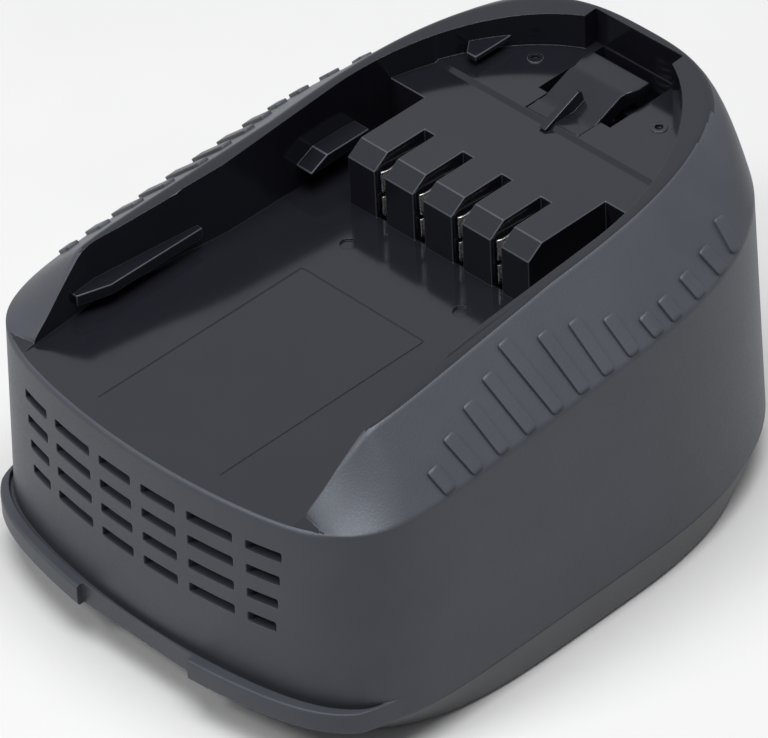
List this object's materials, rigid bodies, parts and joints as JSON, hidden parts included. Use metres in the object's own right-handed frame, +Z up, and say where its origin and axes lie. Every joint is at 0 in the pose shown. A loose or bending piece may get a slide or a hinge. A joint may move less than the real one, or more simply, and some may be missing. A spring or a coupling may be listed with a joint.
{
  "type": "power tool battery pack",
  "caption": "Slide-on battery pack for a cordless power tool: dark moulded shell with a vented front, a glossy guide cavity, contact slots and a sprung release latch.",
  "frame": {"origin": "On the ground, at the middle of the pack's length and width", "axes": "+X across the pack to its right seen from the rear-facing front, +Y from the vented front to the round rear with the latch, +Z up"},
  "size_m": [0.0786, 0.1042, 0.0546],
  "materials": {
    "shell_plastic": "fine moulded grain outside, polished inside the cavity",
    "base_plastic": "fine moulded grain",
    "lever_plastic": "smooth moulded",
    "pin_steel": "bright",
    "spring_steel": "drawn wire",
    "contact_metal": "bright plated",
    "block_plastic": "moulded",
    "board_laminate": "solder mask",
    "cell_can": "shrink sleeve",
    "frame_plastic": "moulded",
    "strap_nickel": "rolled",
    "card": "pressed card",
    "lead_black": "insulated wire",
    "lead_red": "insulated wire"
  },
  "bodies": {
    "pack": {"upper_shell": "shell_plastic", "base_cover": "base_plastic", "latch_pin": "pin_steel", "latch_spring": "spring_steel", "terminal_negative": "contact_metal", "terminal_code": "contact_metal", "terminal_temp": "contact_metal", "terminal_positive": "contact_metal", "terminal_block": "block_plastic", "circuit_board": "board_laminate", "power_transistors": "block_plastic", "control_chip": "block_plastic", "thermistor": "block_plastic", "cell_1": "cell_can", "cell_2": "cell_can", "cell_3": "cell_can", "cell_4": "cell_can", "cell_5": "cell_can", "cell_frame_left": "frame_plastic", "cell_frame_right": "frame_plastic", "strap_negative": "strap_nickel", "strap_12": "strap_nickel", "strap_23": "strap_nickel", "strap_34": "strap_nickel", "strap_45": "strap_nickel", "strap_positive": "strap_nickel", "insulator_left": "card", "insulator_right": "card", "negative_lead": "lead_black", "positive_lead": "lead_red", "case_screws": "pin_steel", "board_screws": "pin_steel"},
    "latch": {"latch_lever": "lever_plastic"}
  },
  "joints": [
    {"name": "latch_press", "type": "hinge", "parent": "pack", "child": "latch", "pos_m": [0, 0.03293, 0.04647], "axis": [-1, 0, 0], "range_deg": [0, 10], "stiffness_Nm_per_rad": 0.3, "springref_deg": -8.59, "deforming": ["latch_spring"]}
  ]
}
